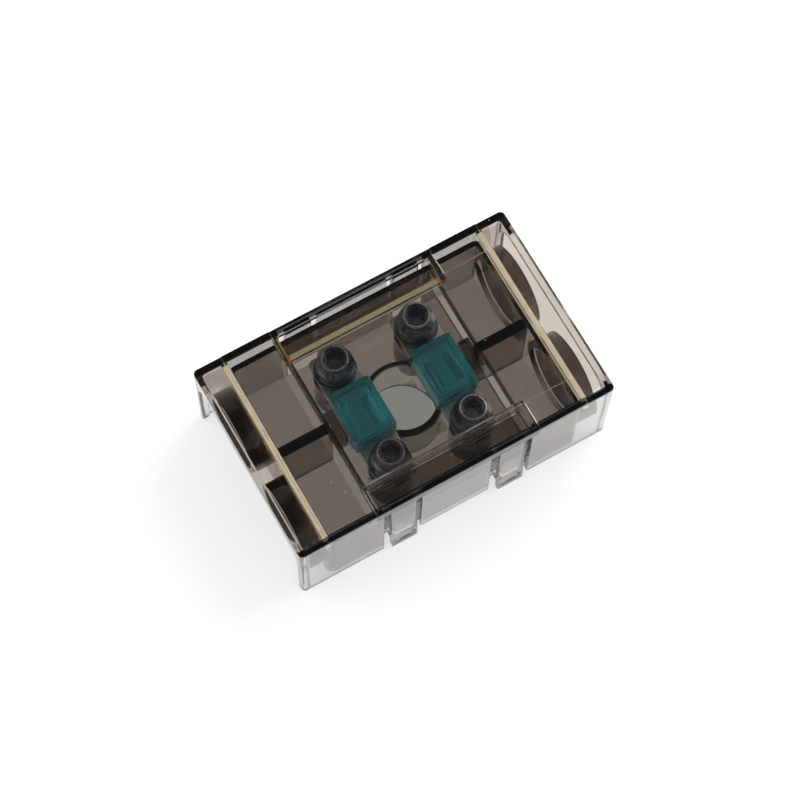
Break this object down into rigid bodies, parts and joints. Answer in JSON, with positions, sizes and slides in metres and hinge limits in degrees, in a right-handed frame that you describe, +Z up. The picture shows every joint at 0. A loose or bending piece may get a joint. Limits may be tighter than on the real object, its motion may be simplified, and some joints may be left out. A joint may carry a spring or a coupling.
{
  "type": "twin bolt-down fuse holder",
  "caption": "Smoked clip-down housing over a base with bolt-down link fuses between socket terminal screws and round cable ways at both ends.",
  "frame": {"origin": "middle of the underside", "axes": "+Z up from the mounting surface, +X along the cables"},
  "size_m": [0.095, 0.0608, 0.032],
  "materials": {
    "cover_smoke": "glossy smoked transparent moulding",
    "base_smoke": "glossy smoked transparent moulding",
    "fuse_teal": "glossy translucent teal moulding",
    "fuse_metal": "tin-plated strip",
    "screw_black": "black oxide steel",
    "washer_steel": "dark zinc steel",
    "insert_brass": "turned brass"
  },
  "bodies": {
    "base": {"base": "base_smoke", "fuse_1_body_upper": "fuse_teal", "fuse_1_body_lower": "fuse_teal", "fuse_1_element": "fuse_metal", "fuse_2_body_upper": "fuse_teal", "fuse_2_body_lower": "fuse_teal", "fuse_2_element": "fuse_metal", "spring_washer_1": "washer_steel", "spring_washer_2": "washer_steel", "spring_washer_3": "washer_steel", "spring_washer_4": "washer_steel", "flat_washer_1": "washer_steel", "flat_washer_2": "washer_steel", "flat_washer_3": "washer_steel", "flat_washer_4": "washer_steel", "threaded_insert_1": "insert_brass", "threaded_insert_2": "insert_brass", "threaded_insert_3": "insert_brass", "threaded_insert_4": "insert_brass"},
    "cover": {"cover": "cover_smoke"},
    "clip_1": {"cover_clip_1": "cover_smoke"},
    "clip_2": {"cover_clip_2": "cover_smoke"},
    "clip_3": {"cover_clip_3": "cover_smoke"},
    "clip_4": {"cover_clip_4": "cover_smoke"},
    "screw_1": {"terminal_screw_1": "screw_black"},
    "screw_2": {"terminal_screw_2": "screw_black"},
    "screw_3": {"terminal_screw_3": "screw_black"},
    "screw_4": {"terminal_screw_4": "screw_black"}
  },
  "joints": [
    {"name": "cover_lift", "type": "slide", "parent": "base", "child": "cover", "axis": [0, 0, 1], "range_m": [0, 0.04], "deforming": ["cover_clip_1", "cover_clip_2", "cover_clip_3", "cover_clip_4"]},
    {"name": "clip_1_flex", "type": "hinge", "parent": "cover", "child": "clip_1", "pos_m": [-0.0165, 0.0284, 0.0277], "axis": [1, 0, 0], "range_deg": [0, 5], "stiffness_Nm_per_rad": 0.12},
    {"name": "clip_2_flex", "type": "hinge", "parent": "cover", "child": "clip_2", "pos_m": [0.0165, 0.0284, 0.0277], "axis": [1, 0, 0], "range_deg": [0, 5], "stiffness_Nm_per_rad": 0.12},
    {"name": "clip_3_flex", "type": "hinge", "parent": "cover", "child": "clip_3", "pos_m": [-0.0165, -0.0284, 0.0277], "axis": [-1, 0, 0], "range_deg": [0, 5], "stiffness_Nm_per_rad": 0.12},
    {"name": "clip_4_flex", "type": "hinge", "parent": "cover", "child": "clip_4", "pos_m": [0.0165, -0.0284, 0.0277], "axis": [-1, 0, 0], "range_deg": [0, 5], "stiffness_Nm_per_rad": 0.12},
    {"name": "screw_1_turn", "type": "hinge", "parent": "base", "child": "screw_1", "pos_m": [-0.0125, 0.015, 0.02], "axis": [0, 0, 1], "continuous": true},
    {"name": "screw_2_turn", "type": "hinge", "parent": "base", "child": "screw_2", "pos_m": [0.0125, 0.015, 0.02], "axis": [0, 0, 1], "continuous": true},
    {"name": "screw_3_turn", "type": "hinge", "parent": "base", "child": "screw_3", "pos_m": [-0.0125, -0.015, 0.02], "axis": [0, 0, 1], "continuous": true},
    {"name": "screw_4_turn", "type": "hinge", "parent": "base", "child": "screw_4", "pos_m": [0.0125, -0.015, 0.02], "axis": [0, 0, 1], "continuous": true}
  ]
}
